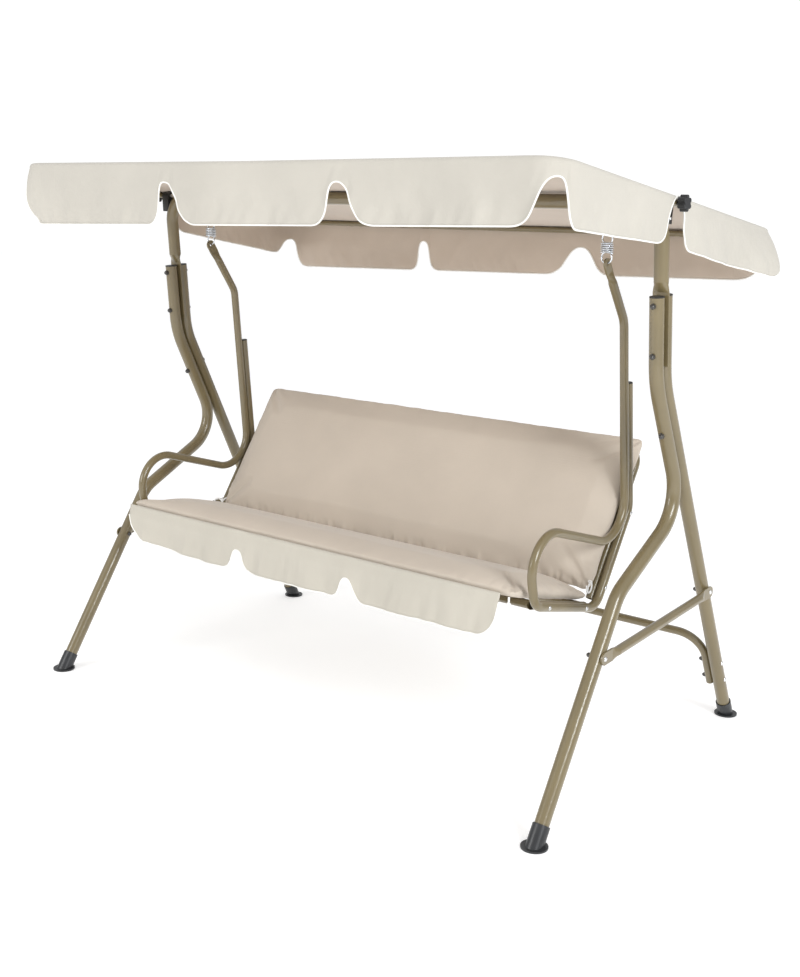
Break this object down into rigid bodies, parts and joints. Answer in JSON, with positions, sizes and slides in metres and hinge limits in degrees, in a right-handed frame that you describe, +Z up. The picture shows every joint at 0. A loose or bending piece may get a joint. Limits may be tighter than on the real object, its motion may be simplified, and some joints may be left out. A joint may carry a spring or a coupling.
{
  "type": "canopy swing bench",
  "caption": "Free-standing garden swing bench: bent-tube stand, tilting fabric canopy, and a padded seat with a sloped back and loop armrests, hung from coil springs.",
  "frame": {"origin": "on the floor, at the centre of the bounding box", "axes": "+X to the right seen from the front, along the beam; -Y to the front, where a sitter faces; +Z up"},
  "size_m": [1.777, 1.103, 1.4684],
  "materials": {
    "frame_paint": "gloss taupe powder coat",
    "slat_paint": "gloss taupe powder coat",
    "foot_plastic": "charcoal, moulded",
    "cap_plastic": "black, moulded",
    "knob_plastic": "black, moulded",
    "lug_paint": "black",
    "dark_nut": "dark, domed",
    "zinc_screw": "bright zinc",
    "spring_zinc": "bright zinc wire",
    "canopy_cloth": "coated woven polyester",
    "cushion_cloth": "woven polyester over foam",
    "valance_cloth": "woven polyester",
    "tie_cord": "white cotton tape"
  },
  "bodies": {
    "stand": {"brace_bolts": "zinc_screw", "brace_cap_nuts": "dark_nut", "canopy_bolt_left": "zinc_screw", "canopy_bolt_right": "zinc_screw", "canopy_lug_left": "lug_paint", "canopy_lug_right": "lug_paint", "crossbar_bolts": "zinc_screw", "crossbar_cap_nuts": "dark_nut", "foot_front_left": "foot_plastic", "foot_front_right": "foot_plastic", "foot_rear_left": "foot_plastic", "foot_rear_right": "foot_plastic", "frame_bolts": "zinc_screw", "frame_cap_nuts": "dark_nut", "leg_front_left": "frame_paint", "leg_front_right": "frame_paint", "leg_rear_left": "frame_paint", "leg_rear_right": "frame_paint", "leg_top_caps": "cap_plastic", "lug_screws": "zinc_screw", "rear_crossbar": "frame_paint", "side_brace_left": "frame_paint", "side_brace_right": "frame_paint", "spring_hook_left": "frame_paint", "spring_hook_right": "frame_paint", "top_beam": "frame_paint"},
    "springs": {"spring_left": "spring_zinc", "spring_right": "spring_zinc"},
    "seat": {"back_cross_tube": "frame_paint", "back_cushion": "cushion_cloth", "back_frame": "frame_paint", "back_slats": "slat_paint", "seat_bolts": "zinc_screw", "seat_cushion": "cushion_cloth", "seat_front_tube": "frame_paint", "seat_nuts": "dark_nut", "seat_rail_left": "frame_paint", "seat_rail_right": "frame_paint", "seat_rear_tube": "frame_paint", "seat_side_caps": "cap_plastic", "seat_side_left": "frame_paint", "seat_side_right": "frame_paint", "seat_slats": "slat_paint", "seat_valance": "valance_cloth", "tie_front_left": "tie_cord", "tie_front_right": "tie_cord", "tie_rear_left": "tie_cord", "tie_rear_right": "tie_cord"},
    "canopy": {"canopy_front_bar": "frame_paint", "canopy_rear_bar": "frame_paint", "canopy_frame_screws": "zinc_screw", "canopy_fabric": "canopy_cloth", "canopy_rail_left": "frame_paint", "canopy_rail_right": "frame_paint"},
    "knob_left": {"canopy_knob_left": "knob_plastic"},
    "knob_right": {"canopy_knob_right": "knob_plastic"}
  },
  "joints": [
    {"name": "seat_swing", "type": "hinge", "parent": "stand", "child": "springs", "pos_m": [0, -0.0165, 1.3292], "axis": [1, 0, 0], "range_deg": [-25, 25]},
    {"name": "seat_rock", "type": "hinge", "parent": "springs", "child": "seat", "pos_m": [0, -0.0165, 1.251], "axis": [1, 0, 0], "range_deg": [-12, 12]},
    {"name": "canopy_tilt", "type": "hinge", "parent": "stand", "child": "canopy", "pos_m": [0, -0.0433, 1.393], "axis": [1, 0, 0], "range_deg": [-15, 15]},
    {"name": "knob_left_turn", "type": "hinge", "parent": "stand", "child": "knob_left", "pos_m": [-0.877, -0.0433, 1.393], "axis": [-1, 0, 0], "continuous": true},
    {"name": "knob_right_turn", "type": "hinge", "parent": "stand", "child": "knob_right", "pos_m": [0.877, -0.0433, 1.393], "axis": [1, 0, 0], "continuous": true}
  ]
}
